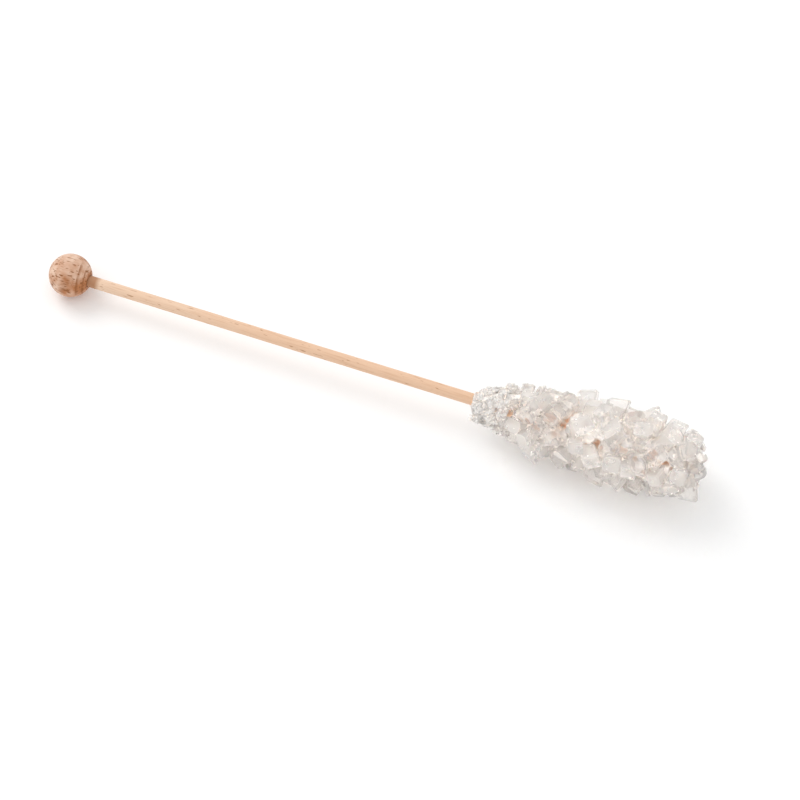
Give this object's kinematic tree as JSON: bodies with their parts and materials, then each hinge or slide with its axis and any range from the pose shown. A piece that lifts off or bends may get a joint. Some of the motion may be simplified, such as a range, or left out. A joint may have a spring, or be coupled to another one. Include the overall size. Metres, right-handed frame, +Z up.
{
  "type": "rock candy stick",
  "caption": "Thin wooden stick lying down, with a turned wooden ball on one end and a spindle of clear sugar crystals grown round the other.",
  "frame": {"origin": "middle of the bounding box's bottom face, on the surface that the stick lies on", "axes": "+X along the stick from the ball to the sugar, +Z up, +Y to complete a right-handed frame; the stick rises by 1.8 degrees towards the sugar, which is thicker than the ball"},
  "size_m": [0.1766, 0.0226, 0.0213],
  "materials": {
    "beech": "turned and sanded, bare",
    "birch": "drawn dowel, sanded, bare",
    "sugar": "large clear and frosted sucrose crystals, milky towards the middle"
  },
  "bodies": {
    "root": {"ball": "beech", "dowel": "birch", "rock_sugar": "sugar"}
  },
  "joints": []
}
